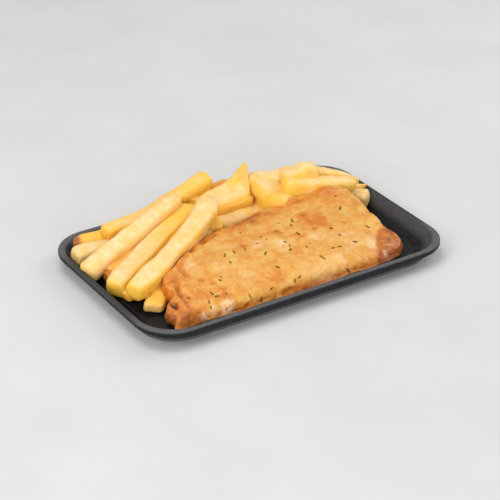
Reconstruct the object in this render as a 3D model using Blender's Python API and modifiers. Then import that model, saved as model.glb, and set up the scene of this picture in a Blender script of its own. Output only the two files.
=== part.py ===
"""Fish and chips served in a shallow black foam tray.

Three pieces, each one closed solid in an object of its own:
  tray   the moulded foam tray, with its rim, flared wall and grooved floor
  fish   one battered fillet, laid along the front of the tray
  chips  the thick-cut chips heaped behind and beside it, as one solid out to
         the heap's uneven outline

Metres, +Z up. The origin is on the surface that the tray stands on, under the
middle of its rim. +X runs along the long side, and -Y is the front.
"""

import math
from collections import namedtuple

import bmesh
import bpy
from mathutils import Matrix, Vector, noise

MM = 0.001
GAP = 0.3 * MM  # left between pieces that touch
END_MARGIN = 0.01  # share of a block's length that counts as its end

# Tray: sizes over the rim
TRAY_LENGTH = 225 * MM
TRAY_WIDTH = 146 * MM
TRAY_HEIGHT = 12 * MM
RIM_CORNER = 26 * MM  # radius of the rim's corners
CORNER_TIGHTENING = 0.37  # the radius lost for each unit of inset
LIP_BAND = 3.0 * MM  # height of the upright band round the rim
LIP_WIDTH = 4.0 * MM
BASE_INSET = 7.1 * MM  # from the rim to the foot of the wall, outside
FOOT_HEIGHT = 2.0 * MM  # of the upright band at the foot
LIP_ROUND = 1.0 * MM
FOOT_ROUND = 1.4 * MM  # where the wall turns under
FLOOR_INSET = 10.6 * MM  # from the rim to the foot of the wall, inside
FLOOR_LEVEL = 3.5 * MM
GROOVE_WIDTH = 3.2 * MM  # round the edge of the floor
GROOVE_DEPTH = 0.7 * MM
CORNER_STEPS = 7
ROOM_HEIGHT = 60 * MM  # above every chip

# Fish: the outline of the fillet seen from above, each side left to right or front to back
FISH_BASE = FLOOR_LEVEL + GAP
FISH_FRONT_SIDE = ((-95, -62), (-74, -63), (-40, -64), (20, -64), (60, -63), (80, -59))
FISH_BACK_SIDE = ((-77.5, -16), (-62, -8.5), (-44, 4.5), (-14, 15), (22, 22), (56, 25), (85, 23))
FISH_LEFT_END = ((-95, -62), (-91, -54), (-94.5, -47), (-82.5, -39), (-84, -29), (-81.5, -22), (-77.5, -16))
FISH_RIGHT_END = ((80, -59), (88.5, -50), (86, -37), (84, -24), (87, -8), (88.5, 8), (85, 23))
FISH_THICKNESS = 20 * MM  # along the middle
FISH_TAIL_THICKNESS = 15.5 * MM
FISH_FRONT_THINNING = 0.64  # share of the thickness lost at the front edge
FISH_FRONT_FALL = 2.4  # the higher, the nearer the front edge the top stays level
FISH_BACK_THINNING = 0.05
FISH_BACK_FALL = 4
FISH_CORNER_THINNING = 0.25  # of the corner at the right of the front
FISH_EDGE_ROUND = 4.5 * MM
FISH_CELLS = (26, 13, 2)
CRUST_RELIEF = 1.1 * MM
CRUST_WAVE = 16 * MM

# Swells and hollows of the fillet's top, in millimetres: where, half their length and
# half their width, the turn of their length from +X in degrees, and their height
Swell = namedtuple("Swell", "x y half_length half_width turn height")
FISH_SWELLS = (
    Swell(75, 14, 15, 10, 0, 2.8),  # the high edge at the back
    Swell(40, -5, 22, 12, 20, 0.9),
    Swell(-20, -30, 26, 12, 10, 1.0),
    Swell(8, 8, 18, 5, 8, -0.8),
    Swell(-78, -30, 13, 3.6, -100, -2.6),  # the fold across the tail
    Swell(-86, -42, 9, 4, -115, 1.6),
    Swell(-87, -50, 5, 4, -60, -2.8),
    Swell(76, -40, 15, 12, 70, 1.2),  # the browned corner, thinner than the rest
    Swell(64, -38, 15, 3.6, 75, -1.2),
)

# Chips: every size in millimetres. start and end are the middles of a chip's two
# ends, roll turns it about its own length, side and rise bow its middle to the
# left and up, end_size is the far end's size as a share of the near end's, and
# peak draws the far end's upper edge up to a point, lean times as far forward.
Chip = namedtuple(
    "Chip", "name start end width depth roll side rise end_size peak lean", defaults=(0, 0, 0, 1, 0, 1.3)
)
CHIPS = (
    # on the tray's floor
    Chip("front_stub", (-99, -10.5, 8), (-58, -4, 8), 10.5, 6.5, end_size=1.1),
    Chip("beside_fish", (-90.3, -32.4, 8), (-72, -7, 9.5), 13.5, 9.5, roll=10, end_size=0.75),
    Chip("browned_corner", (-96.5, 16, 8), (-50, 18, 7.5), 10, 8),
    Chip("left_stub", (-103, 46, 10.3), (-45, 42, 10.5), 14, 12.5, roll=5, end_size=0.9),
    Chip("back_left", (-96, 57, 10.5), (-38, 55, 11), 13, 12, roll=15),
    Chip("floor_middle", (-66, 8, 9.5), (-17, 24, 12.5), 12, 11),
    Chip("floor_back", (-36, 55, 11), (30, 57, 11), 13, 13),
    Chip("floor_inner", (-42, 38, 10.5), (20, 44, 10.5), 14, 13),
    Chip("behind_fish", (1, 30, 12.5), (51, 33, 13), 15, 12, roll=32, end_size=0.9),
    Chip("floor_right_back", (34, 55, 11), (90, 51, 11), 13, 13, end_size=0.9),
    Chip("floor_right", (46, 42, 10.5), (96, 36, 10.5), 13, 13),
    Chip("right_stub", (101.5, 12, 10), (82, 35, 10.5), 13, 11.5, roll=-16),
    # resting on those
    Chip("front_low", (-101, -1, 9.9), (-22, 40, 24), 18, 13, roll=5, end_size=0.7),
    Chip("front_high", (-97.5, -22.5, 16.5), (-14, 31, 29), 13, 12, roll=20, side=-3, rise=1, end_size=1.2),
    Chip("left_high", (-106, 24, 10.6), (-29, 46, 30.5), 14, 13, roll=16, side=-1.5, rise=1, end_size=0.85),
    Chip("back_long", (-78.5, 50, 19.5), (3, 59, 30.5), 13, 12, roll=12, rise=-5, end_size=1.15),
    Chip("end_on", (-12, 21, 13), (-7, 56, 17), 18, 13),
    Chip("middle_strip", (-8, 35, 20.5), (24, 36, 21), 10, 7, roll=-8),
    Chip("browned_back", (-32, 56, 18.5), (20, 58, 19), 14, 13, end_size=0.9),
    Chip("pointed_right", (66, 38, 15.5), (103.5, 20.5, 13.2), 11, 10, end_size=0.6, peak=1.4, lean=3.2),
    Chip("right_inner", (10, 50, 20), (74, 43, 20), 14, 13),
    # the top of the heap
    Chip("peak", (-14, 40, 23.5), (21.5, 43, 25.7), 10, 15, roll=-45, end_size=1.2, peak=8),
    Chip("crosswise", (37, 49, 24.3), (40.5, 19, 17.3), 26, 17, roll=-12, side=-1, rise=-2.5, end_size=0.85),
    Chip("broad_back", (25, 49, 25.5), (62, 43, 24), 15, 13, roll=6),
    Chip("over_fish", (46.5, 28.5, 25), (93.5, 17.5, 21), 17.5, 17.5, roll=5, end_size=0.57),
    Chip("behind_top", (62, 38, 26.5), (100.5, 24, 17.5), 13, 13, roll=-12, rise=2.5, end_size=0.7),
    Chip("highest", (49, 34, 30.3), (70.5, 29.5, 32.3), 13, 12, roll=-4, end_size=1.1),
)

CHIP_EDGE_ROUND = 0.2  # of its width and depth
CHIP_END_PINCH = 0.9  # size of the cut ends against the rest
CHIP_CUTS = 3
PEAK_PINCH = 0.4  # width of a drawn-out edge against the rest
PEAK_SIDE = 0.38  # how far to the right it narrows, as a share of the chip's width

# The packed middle of the heap: its outline seen from above, in millimetres
HEAP_CORE = (
    (-88, -14), (-60, 2), (-30, 18), (0, 32), (50, 34), (88, 36), (92, 50),
    (60, 58), (-80, 58), (-94, 44), (-96, 12),
)
HEAP_CORE_TOP = 15 * MM


def new_material(name, colour, roughness):
    """A Principled finish, not metallic."""
    material = bpy.data.materials.new(name)
    material.use_nodes = True
    shader = material.node_tree.nodes["Principled BSDF"]
    shader.inputs["Base Color"].default_value = (*colour, 1)
    shader.inputs["Roughness"].default_value = roughness
    shader.inputs["Metallic"].default_value = 0
    return material


def new_object(name, mesh_maker, collection, material):
    """An object whose mesh is what mesh_maker builds."""
    mesh = bpy.data.meshes.new(name)
    shape = mesh_maker()
    bmesh.ops.recalc_face_normals(shape, faces=shape.faces)
    shape.to_mesh(mesh)
    shape.free()
    piece = bpy.data.objects.new(name, mesh)
    mesh.materials.append(material)
    collection.objects.link(piece)
    return piece


# ---------------------------------------------------------------- tray


def rim_profile():
    """The wall's section as (inset, height), from the underside out, over the rim and down to the floor."""
    return outer_wall() + inner_wall() + floor_groove()


def outer_wall():
    """The section from the underside up to the top of the lip."""
    band_foot = TRAY_HEIGHT - LIP_BAND
    return (
        (BASE_INSET + FOOT_ROUND, 0),
        (BASE_INSET, 0.4 * FOOT_ROUND),
        (BASE_INSET, FOOT_HEIGHT),
        (0.8 * LIP_ROUND, band_foot - 0.9 * LIP_ROUND),
        (0, band_foot),
        (0, TRAY_HEIGHT - 0.9 * LIP_ROUND),
        (0.3 * LIP_ROUND, TRAY_HEIGHT - 0.25 * LIP_ROUND),
        (1.1 * LIP_ROUND, TRAY_HEIGHT),
    )


def inner_wall():
    """The section from the top of the lip down to the edge of the floor."""
    return (
        (LIP_WIDTH - LIP_ROUND, TRAY_HEIGHT),
        (LIP_WIDTH, TRAY_HEIGHT - 0.5 * LIP_ROUND),
        (FLOOR_INSET - FOOT_ROUND, FLOOR_LEVEL + 0.9 * FOOT_ROUND),
        (FLOOR_INSET, FLOOR_LEVEL),
    )


def floor_groove():
    """The section of the groove round the edge of the floor."""
    start = FLOOR_INSET + 0.3 * GROOVE_WIDTH
    return (
        (start, FLOOR_LEVEL - GROOVE_DEPTH),
        (start + 0.4 * GROOVE_WIDTH, FLOOR_LEVEL - GROOVE_DEPTH),
        (start + 0.8 * GROOVE_WIDTH, FLOOR_LEVEL),
    )


def tray_loop(inset, height):
    """Points round a rounded rectangle, the tray's outline moved in by inset."""
    half_x = TRAY_LENGTH / 2 - inset
    half_y = TRAY_WIDTH / 2 - inset
    radius = RIM_CORNER - CORNER_TIGHTENING * inset
    points = []
    for corner in range(4):
        centre_x = (half_x - radius) * (1 if corner in (0, 3) else -1)
        centre_y = (half_y - radius) * (1 if corner in (0, 1) else -1)
        for step in range(CORNER_STEPS + 1):
            angle = math.radians(90 * (corner + step / CORNER_STEPS))
            points.append(
                Vector((centre_x + radius * math.cos(angle), centre_y + radius * math.sin(angle), height))
            )
    return points


def bridge_loops(shape, loops):
    """Closes a stack of loops, all of the same number of points, into one solid."""
    rings = [[shape.verts.new(point) for point in loop] for loop in loops]
    for ring, following in zip(rings, rings[1:]):
        for near, far in zip(range(-1, len(ring) - 1), range(len(ring))):
            shape.faces.new((ring[near], ring[far], following[far], following[near]))
    shape.faces.new(rings[0])
    shape.faces.new(rings[-1])


def tray_shape():
    """The tray: one section carried round a rounded rectangle, closed by the floor and the underside."""
    shape = bmesh.new()
    bridge_loops(shape, [tray_loop(inset, height) for inset, height in rim_profile()])
    return shape


def tray_room_shape():
    """All the space inside the tray that food may fill, a gap away from its walls and open above."""
    shape = bmesh.new()
    wall = [(inset + GAP, height + GAP) for inset, height in inner_wall()]
    outline = [(wall[0][0], ROOM_HEIGHT)] + wall + [(FLOOR_INSET + GROOVE_WIDTH, FISH_BASE)]
    bridge_loops(shape, [tray_loop(inset, height) for inset, height in outline])
    return shape


# ---------------------------------------------------------------- fish


def along(points, share):
    """The point at a share of the way along a smooth curve through the points."""
    spot = share * (len(points) - 1)
    index = min(int(spot), len(points) - 2)
    part = spot - index
    before = points[max(index - 1, 0)]
    start, end = points[index], points[index + 1]
    after = points[min(index + 2, len(points) - 1)]
    found = []
    for axis in range(2):
        p0, p1, p2, p3 = before[axis], start[axis], end[axis], after[axis]
        found.append(
            0.5
            * (
                2 * p1
                + (p2 - p0) * part
                + (2 * p0 - 5 * p1 + 4 * p2 - p3) * part**2
                + (3 * p1 - p0 - 3 * p2 + p3) * part**3
            )
        )
    return Vector(found) * MM


def fish_plan(u, v):
    """A point of the fillet seen from above: u runs left to right and v front to back."""
    front, back = along(FISH_FRONT_SIDE, u), along(FISH_BACK_SIDE, u)
    left, right = along(FISH_LEFT_END, v), along(FISH_RIGHT_END, v)
    corners = (
        along(FISH_FRONT_SIDE, 0) * (1 - u) * (1 - v)
        + along(FISH_FRONT_SIDE, 1) * u * (1 - v)
        + along(FISH_BACK_SIDE, 0) * (1 - u) * v
        + along(FISH_BACK_SIDE, 1) * u * v
    )
    return front * (1 - v) + back * v + left * (1 - u) + right * u - corners


def lengthwise_edges(shape, axis):
    """The edges of a unit block that run the whole way along one axis."""
    return [edge for edge in shape.edges if abs(edge.verts[0].co[axis] - edge.verts[1].co[axis]) > 0.9]


def smooth_step(low, high, value):
    """0 below low, 1 above high, and an even curve between."""
    share = min(max((value - low) / (high - low), 0), 1)
    return share * share * (3 - 2 * share)


def fish_swelling(place):
    """What the swells and hollows add to the top at a place."""
    total = 0
    for swell in FISH_SWELLS:
        away = (place - Vector((swell.x, swell.y)) * MM) @ Matrix.Rotation(math.radians(swell.turn), 2)
        reach = (away.x / (swell.half_length * MM)) ** 2 + (away.y / (swell.half_width * MM)) ** 2
        total += swell.height * MM * math.exp(-1.5 * reach)
    return total


def fish_top(u, v):
    """Height of the fillet's upper surface."""
    swell = smooth_step(-0.1, 0.35, u)
    thickness = FISH_TAIL_THICKNESS + (FISH_THICKNESS - FISH_TAIL_THICKNESS) * swell
    thickness *= 1 - FISH_FRONT_THINNING * (1 - v) ** FISH_FRONT_FALL - FISH_BACK_THINNING * v**FISH_BACK_FALL
    thickness *= 1 - FISH_CORNER_THINNING * smooth_step(0.80, 0.88, u) * smooth_step(0.45, 0.30, v)
    return FISH_BASE + thickness + fish_swelling(fish_plan(u, v))


def fish_shape(grow=0):
    """The fillet: a block divided into cells and drawn out to the outline, thickness and crust."""
    shape = bmesh.new()
    bmesh.ops.create_cube(shape, size=1)
    for axis, cells in enumerate(FISH_CELLS):
        edges = lengthwise_edges(shape, axis)
        bmesh.ops.subdivide_edges(shape, edges=edges, cuts=cells - 1, use_grid_fill=True)
    middle = fish_plan(0.5, 0.5)
    for vert in shape.verts:
        u, v, w = (part + 0.5 for part in vert.co)
        place = fish_plan(u, v)
        height = FISH_BASE + (fish_top(u, v) - FISH_BASE) * w
        if max(abs(u - 0.5), abs(v - 0.5)) > 0.5 - END_MARGIN:
            tuck = FISH_EDGE_ROUND * abs(2 * w - 1) ** 3
            place = place + (middle - place).normalized() * tuck
            if w > 1 - END_MARGIN:
                height -= 0.25 * FISH_EDGE_ROUND
        if w > END_MARGIN:
            height += noise.noise(Vector((place.x, place.y, height)) / CRUST_WAVE) * CRUST_RELIEF
        vert.co = (place.x, place.y, height)
    if grow:
        bmesh.ops.recalc_face_normals(shape, faces=shape.faces)
        shape.normal_update()
        for vert, outward in [(vert, vert.normal.copy()) for vert in shape.verts]:
            vert.co += outward * grow
    return shape


# ---------------------------------------------------------------- chips


def chip_shape(chip):
    """One chip: a long block with softened edges, tapered, bowed and turned to its place."""
    start, end = Vector(chip.start) * MM, Vector(chip.end) * MM
    length = (end - start).length
    shape = bmesh.new()
    bmesh.ops.create_cube(shape, size=1)
    bmesh.ops.bevel(
        shape,
        geom=lengthwise_edges(shape, 0),
        offset=CHIP_EDGE_ROUND,
        segments=1,
        affect="EDGES",
        profile=0.5,
        clamp_overlap=True,
    )
    bmesh.ops.subdivide_edges(shape, edges=lengthwise_edges(shape, 0), cuts=CHIP_CUTS, use_grid_fill=True)
    forward = (end - start).normalized()
    sideways = Vector((0, 0, 1)).cross(forward).normalized()
    turn = Matrix((forward, sideways, forward.cross(sideways))).transposed()
    turn = turn @ Matrix.Rotation(math.radians(chip.roll), 3, "X")
    for vert in shape.verts:
        share = vert.co.x + 0.5
        size = 1 + (chip.end_size - 1) * share
        if share < END_MARGIN or share > 1 - END_MARGIN:
            size *= CHIP_END_PINCH
        local = Vector(
            (
                (share - 0.5) * length,
                vert.co.y * chip.width * MM * size,
                vert.co.z * chip.depth * MM * size,
            )
        )
        if chip.peak and share > 1 - END_MARGIN and vert.co.z > 0:
            local += Vector((chip.lean, 0, 1)) * chip.peak * MM
            local.y = PEAK_PINCH * local.y - (1 - PEAK_PINCH) * PEAK_SIDE * chip.width * MM
        arch = MM * math.sin(math.pi * share)
        vert.co = (start + end) / 2 + turn @ local + (sideways * chip.side + Vector((0, 0, chip.rise))) * arch
    if chip.peak:  # its end is no longer flat
        bmesh.ops.triangulate(shape, faces=shape.faces)
    return shape


def heap_core_shape():
    """The packed middle of the heap, which every chip meets."""
    shape = bmesh.new()
    low = [Vector((x * MM, y * MM, FISH_BASE)) for x, y in HEAP_CORE]
    high = [point + Vector((0, 0, HEAP_CORE_TOP - FISH_BASE)) for point in low]
    bridge_loops(shape, [low, high])
    return shape


def add_boolean(piece, other, operation):
    """Joins or cuts the piece with another object."""
    modifier = piece.modifiers.new(f"{operation.lower()}_{other.name}", "BOOLEAN")
    modifier.operation = operation
    modifier.solver = "EXACT"
    modifier.object = other


def main():
    """Clears the scene and builds the three pieces."""
    for old in list(bpy.data.objects):
        bpy.data.objects.remove(old, do_unlink=True)
    parts = bpy.data.collections.new("fish_and_chips")
    tools = bpy.data.collections.new("cutters")
    for collection in (parts, tools):
        bpy.context.scene.collection.children.link(collection)

    foam = new_material("black_foam", (0.028, 0.028, 0.030), 0.45)
    batter = new_material("batter", (0.80, 0.47, 0.15), 0.5)
    potato = new_material("fried_potato", (0.93, 0.70, 0.28), 0.5)

    new_object("tray", tray_shape, parts, foam)

    fish = new_object("fish", fish_shape, parts, batter)
    room_for_fish = new_object("room_for_fish", lambda: fish_shape(1.5 * GAP), tools, batter)
    for piece in (fish, room_for_fish):
        smooth = piece.modifiers.new("smooth", "SUBSURF")
        smooth.levels = 1
        smooth.render_levels = 1
    flat = fish.modifiers.new("flat_underside", "DECIMATE")
    flat.decimate_type = "DISSOLVE"
    flat.angle_limit = math.radians(0.5)

    chips = new_object("chips", heap_core_shape, parts, potato)
    for chip in CHIPS:
        body = new_object(f"chip_{chip.name}", lambda chip=chip: chip_shape(chip), tools, potato)
        add_boolean(chips, body, "UNION")
    room_in_tray = new_object("room_in_tray", tray_room_shape, tools, foam)
    add_boolean(chips, room_in_tray, "INTERSECT")
    add_boolean(chips, room_for_fish, "DIFFERENCE")

    for tool in tools.objects:
        tool.hide_render = True
        tool.display_type = "WIRE"


main()
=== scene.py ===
"""Fish and chips in a black foam tray: the finished look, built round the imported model.

Metres, +Z up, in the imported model's own frame: the origin is on the surface that
the tray stands on, under the middle of its rim, and -Y is the front.

  Tray      the moulded foam tray
  Fillet    the battered fish, carved from a finer copy of its solid
  ChipHeap  every chip on its own, over a smaller core
  Herbs     flecks of chopped herb on the batter
  Studio    the floor, the lights and the camera
"""

from __future__ import annotations

import logging
import math
import random
from collections.abc import Callable
from dataclasses import astuple, dataclass
from enum import Enum

import bmesh
import bpy
import numpy as np
from mathutils import Matrix, Vector

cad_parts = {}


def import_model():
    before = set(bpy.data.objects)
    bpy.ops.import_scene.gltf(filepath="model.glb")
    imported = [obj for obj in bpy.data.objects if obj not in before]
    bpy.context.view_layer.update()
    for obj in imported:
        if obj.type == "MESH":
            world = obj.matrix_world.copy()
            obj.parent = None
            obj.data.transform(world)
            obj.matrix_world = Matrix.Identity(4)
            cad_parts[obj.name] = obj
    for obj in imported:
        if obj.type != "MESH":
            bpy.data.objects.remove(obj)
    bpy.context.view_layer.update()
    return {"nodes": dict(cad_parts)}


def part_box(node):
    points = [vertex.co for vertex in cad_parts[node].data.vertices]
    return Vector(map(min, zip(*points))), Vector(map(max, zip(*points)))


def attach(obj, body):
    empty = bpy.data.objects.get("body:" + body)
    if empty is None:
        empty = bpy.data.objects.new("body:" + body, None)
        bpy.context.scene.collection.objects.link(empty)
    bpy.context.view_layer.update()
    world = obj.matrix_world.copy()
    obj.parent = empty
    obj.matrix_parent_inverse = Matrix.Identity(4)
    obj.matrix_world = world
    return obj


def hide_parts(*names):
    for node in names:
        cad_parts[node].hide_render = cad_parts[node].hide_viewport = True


LOG = logging.getLogger("fish_and_chips")
MM = 0.001
Colour = tuple[float, float, float]
Spot = tuple[float, float, float]
Piece = bpy.types.Object
Socket = bpy.types.NodeSocket
Values = np.ndarray
Rows = tuple[tuple[float, ...], ...]


# ---- the bench


class Pick(Enum):
    """What edit mode selects."""

    VERTS = "VERT"
    EDGES = "EDGE"
    FACES = "FACE"


def clear_choice() -> None:
    """Deselects every object."""
    for thing in list(bpy.context.selected_objects):
        thing.select_set(False)


def take_up(piece: Piece) -> None:
    """Makes a piece the only selected and the active one."""
    clear_choice()
    piece.select_set(True)
    bpy.context.view_layer.objects.active = piece


def start_from(primitive: Callable, name: str, size: float, scale: Spot) -> Piece:
    """A new piece from one of Blender's primitives, scaled and in edit mode."""
    clear_choice()
    primitive(size=size, location=(0, 0, 0))
    piece = bpy.context.object
    piece.name = piece.data.name = name
    piece.scale = scale
    bpy.ops.object.transform_apply(scale=True)
    bpy.ops.object.mode_set(mode="EDIT")
    return piece


def choose(piece: Piece, kind: Pick, wanted: Callable) -> None:
    """Selects those corners, edges or faces of the piece in edit mode that are wanted."""
    bpy.ops.mesh.select_mode(type=kind.value)
    bpy.ops.mesh.select_all(action="DESELECT")
    shape = bmesh.from_edit_mesh(piece.data)
    for part in getattr(shape, kind.name.lower()):
        if wanted(part):
            part.select = True
    shape.select_flush_mode()
    bmesh.update_edit_mesh(piece.data)


def add_modifier(piece: Piece, kind: str, **settings: object) -> None:
    """Puts a modifier of Blender's kind on the piece, with its settings, and applies it."""
    take_up(piece)
    modifier = piece.modifiers.new(kind.lower(), kind)
    for key, value in settings.items():
        setattr(modifier, key, value)
    bpy.ops.object.modifier_apply(modifier=modifier.name)


@dataclass(frozen=True)
class Lumps:
    """Soft lumps that lift and sink a surface."""

    name: str
    size: float  # how far apart they are, in metres
    height: float  # from the lowest to the highest point, in metres

    def push_out(self, piece: Piece, group: str = "") -> None:
        """Puts the lumps on a piece, where its vertex group of that name says, if one is named."""
        texture = bpy.data.textures.get(self.name) or bpy.data.textures.new(self.name, "CLOUDS")
        texture.noise_scale, texture.noise_depth = self.size, 2
        texture.noise_basis = "IMPROVED_PERLIN"
        add_modifier(
            piece, "DISPLACE", texture=texture, strength=self.height, mid_level=0.5,
            texture_coords="LOCAL", vertex_group=group,
        )


def join(parts: list[Piece], name: str) -> Piece:
    """Makes one piece of several, which are used up, and names it."""
    take_up(parts[0])
    for part in parts:
        part.select_set(True)
    bpy.ops.object.join()
    piece = bpy.context.object
    piece.name = piece.data.name = name
    return piece


def dress(piece: Piece, finish: bpy.types.Material) -> None:
    """Shades a piece smooth and gives it its finish."""
    take_up(piece)
    bpy.ops.object.shade_smooth()
    piece.data.materials.append(finish)


def fine_copy(node: Piece, name: str, grid: float, smoothing: int) -> Piece:
    """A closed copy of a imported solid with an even, softened mesh.

    Args:
        node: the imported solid, which stays as it is.
        name: the copy's name.
        grid: the size of its mesh, in metres.
        smoothing: how many times it is smoothed.

    Returns:
        The copy.
    """
    copy = bpy.data.objects.new(name, node.data.copy())
    copy.data.name = name
    bpy.context.scene.collection.objects.link(copy)
    copy.data.materials.clear()
    take_up(copy)
    bpy.ops.object.mode_set(mode="EDIT")
    bpy.ops.mesh.select_all(action="SELECT")
    bpy.ops.mesh.remove_doubles(threshold=0.001 * MM)
    bpy.ops.object.mode_set(mode="OBJECT")
    add_modifier(copy, "REMESH", mode="VOXEL", voxel_size=grid, use_smooth_shade=True)
    add_modifier(copy, "SMOOTH", factor=0.5, iterations=smoothing)
    return copy


def paint(piece: Piece, name: str, shade: Values | float) -> None:
    """Writes an attribute that a finish reads, a shade from 0 to 1 at each corner of the mesh."""
    layer = piece.data.attributes.get(name) or piece.data.attributes.new(name, "FLOAT", "POINT")
    shades = np.broadcast_to(shade, len(piece.data.vertices))
    layer.data.foreach_set("value", np.clip(shades, 0, 1).astype(np.float32))


def corners_of(piece: Piece) -> tuple[Values, Values]:
    """The places and the normals of the mesh's corners, a row for each."""
    found = []
    for source, key in ((piece.data.vertices, "co"), (piece.data.vertex_normals, "vector")):
        row = np.empty(3 * len(piece.data.vertices), np.float32)
        source.foreach_get(key, row)
        found.append(row.reshape(-1, 3).astype(float))
    return found[0], found[1]


def smooth_step(low: float, high: float, value: Values | float) -> Values:
    """0 below low, 1 above high, and an even curve between."""
    share = np.clip((value - low) / (high - low), 0.0, 1.0)
    return share * share * (3.0 - 2.0 * share)


# ---- finishes


@dataclass(frozen=True)
class Patches:
    """Soft patches of noise, and how strongly they show."""

    size: float  # in millimetres
    low: float  # the noise below which they are least
    high: float  # and above which they are most
    least: float = 0.0
    most: float = 1.0
    detail: float = 3.0  # how many finer layers the noise has
    roughness: float = 0.5  # how strong those are
    bend: float = 0.0  # how far it is distorted


@dataclass(frozen=True)
class Bumps:
    """A layer of fine relief, in millimetres."""

    size: float
    depth: float
    detail: float = 3.0
    roughness: float = 0.5


class Palette:
    """The nodes of one finish, with the helpers that every finish here needs."""

    def __init__(self, name: str) -> None:
        """Starts an empty Principled finish of that name."""
        self.material = bpy.data.materials.new(name)
        self.material.use_nodes = True
        self.tree = self.material.node_tree
        self.shader = self.tree.nodes["Principled BSDF"]
        self.place = self.node("TexCoord").outputs["Object"]

    def put(self, value: Socket | Patches | Colour | float, socket: Socket) -> None:
        """Links a socket or patches to an input, and sets the input to any other value."""
        if isinstance(value, Patches):
            noise = self.grain(value.size, value.detail, value.roughness, value.bend)
            value = self.spread(noise, value.low, value.high, value.least, value.most)
        if isinstance(value, Socket):
            self.tree.links.new(value, socket)
        else:
            socket.default_value = (*value, 1.0) if isinstance(value, tuple) else value

    def node(self, kind: str, **inputs: Socket | float) -> bpy.types.Node:
        """A new shader node of Blender's kind, with its inputs by name and _ for a space."""
        node = self.tree.nodes.new(f"ShaderNode{kind}")
        for key, value in inputs.items():
            self.put(value, node.inputs[key.replace("_", " ")])
        return node

    def grain(self, size: float, detail: float, roughness: float, bend: float = 0.0) -> Socket:
        """Soft noise with patches of a size in millimetres, as Patches says."""
        noise = self.node("TexNoise", Vector=self.place, Scale=1.0 / (size * MM), Detail=detail)
        self.put(roughness, noise.inputs["Roughness"])
        self.put(bend, noise.inputs["Distortion"])
        return noise.outputs["Fac"]

    def cells(self, size: float) -> Socket:
        """How far each place is from the middle of its cell, for cells of a size in millimetres."""
        return self.node("TexVoronoi", Scale=1.0 / (size * MM), Vector=self.place).outputs["Distance"]

    def painted(self, name: str) -> Socket:
        """The value of an attribute of the piece."""
        node = self.node("Attribute")
        node.attribute_name = name
        return node.outputs["Fac"]

    def spread(self, value: Socket, low: float, high: float, to_low: float = 0, to_high: float = 1) -> Socket:
        """Stretches a value from the range low to high to another, evenly and kept inside it."""
        node = self.node("MapRange", Value=value, From_Min=low, From_Max=high, To_Min=to_low, To_Max=to_high)
        node.interpolation_type = "SMOOTHSTEP"
        return node.outputs["Result"]

    def bumps(self, *layers: Bumps) -> list[tuple[Socket, float]]:
        """The height of each layer of relief and its depth in metres, as finish takes them."""
        return [(self.grain(one.size, one.detail, one.roughness), one.depth * MM) for one in layers]

    def sum(self, first: Socket | Patches, second: Socket | Patches, operation: str = "ADD") -> Socket:
        """Two values put together by Blender's operation of that name, kept between 0 and 1."""
        node = self.node("Math")
        node.operation, node.use_clamp = operation, True
        self.put(first, node.inputs[0])
        self.put(second, node.inputs[1])
        return node.outputs["Value"]

    def cover(self, base: Colour, *layers: tuple[Socket | Patches, Colour]) -> Socket:
        """A base colour with others laid over it in turn, each as strong as what comes with it says."""
        for share, over in layers:
            node = self.node("Mix", Factor=share)
            node.data_type = "RGBA"
            self.put(base, node.inputs[6])
            self.put(over, node.inputs[7])
            base = node.outputs[2]
        return base

    def finish(
        self, colour: Socket, roughness: Socket | Patches, relief: list[tuple[Socket, float]], **fixed: float
    ) -> bpy.types.Material:
        """Wires the shader up.

        Args:
            colour: the socket for its base colour.
            roughness: the socket or the patches for its roughness.
            relief: sockets with heights, and the depth of each in metres.
            fixed: values set on the shader's own sockets, with _ for a space.

        Returns:
            The finished material.
        """
        self.put(colour, self.shader.inputs["Base Color"])
        self.put(roughness, self.shader.inputs["Roughness"])
        normal = None
        for height, depth in relief:
            bump = self.node("Bump", Distance=depth, Height=height)
            if normal:
                self.put(normal, bump.inputs["Normal"])
            normal = bump.outputs["Normal"]
        if normal:
            self.put(normal, self.shader.inputs["Normal"])
        for key, number in fixed.items():
            self.put(number, self.shader.inputs[key.replace("_", " ")])
        return self.material


@dataclass(frozen=True)
class FoamFinish:
    """Black foamed plastic with a dull sheen, fine cells under its skin, and painted highlights on its lip,
    foot and inner wall.
    """

    shade: Colour = (0.008, 0.008, 0.009)
    dull: Colour = (0.013, 0.013, 0.014)
    # the colour of the painted highlights
    painted_highlight: Colour = (0.105, 0.106, 0.110)
    mottle: Patches = Patches(7, 0.35, 0.7, detail=4, roughness=0.6)
    # patches that break up the painted highlights
    highlight_breakup: Patches = Patches(3, 0.25, 0.7, 0.7, 1.0, 4, 0.6)
    sheen: Patches = Patches(12, 0.3, 0.7, 0.40, 0.54)
    cell: float = 0.9  # millimetres
    cell_depth: float = 0.05 * MM
    dents: Bumps = Bumps(5, 0.12)

    def material(self) -> bpy.types.Material:
        """The foam, lightened by painted highlights where its attribute says."""
        nodes = Palette("black_foam")
        # painted highlight, broken into patches, laid over the foam's own colour
        highlight_share = nodes.sum(nodes.painted("painted_highlight"), self.highlight_breakup, "MULTIPLY")
        colour = nodes.cover(self.shade, (self.mottle, self.dull), (highlight_share, self.painted_highlight))
        relief = [(nodes.cells(self.cell), self.cell_depth)] + nodes.bumps(self.dents)
        return nodes.finish(colour, self.sheen, relief, Specular_IOR_Level=0.15)


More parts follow.
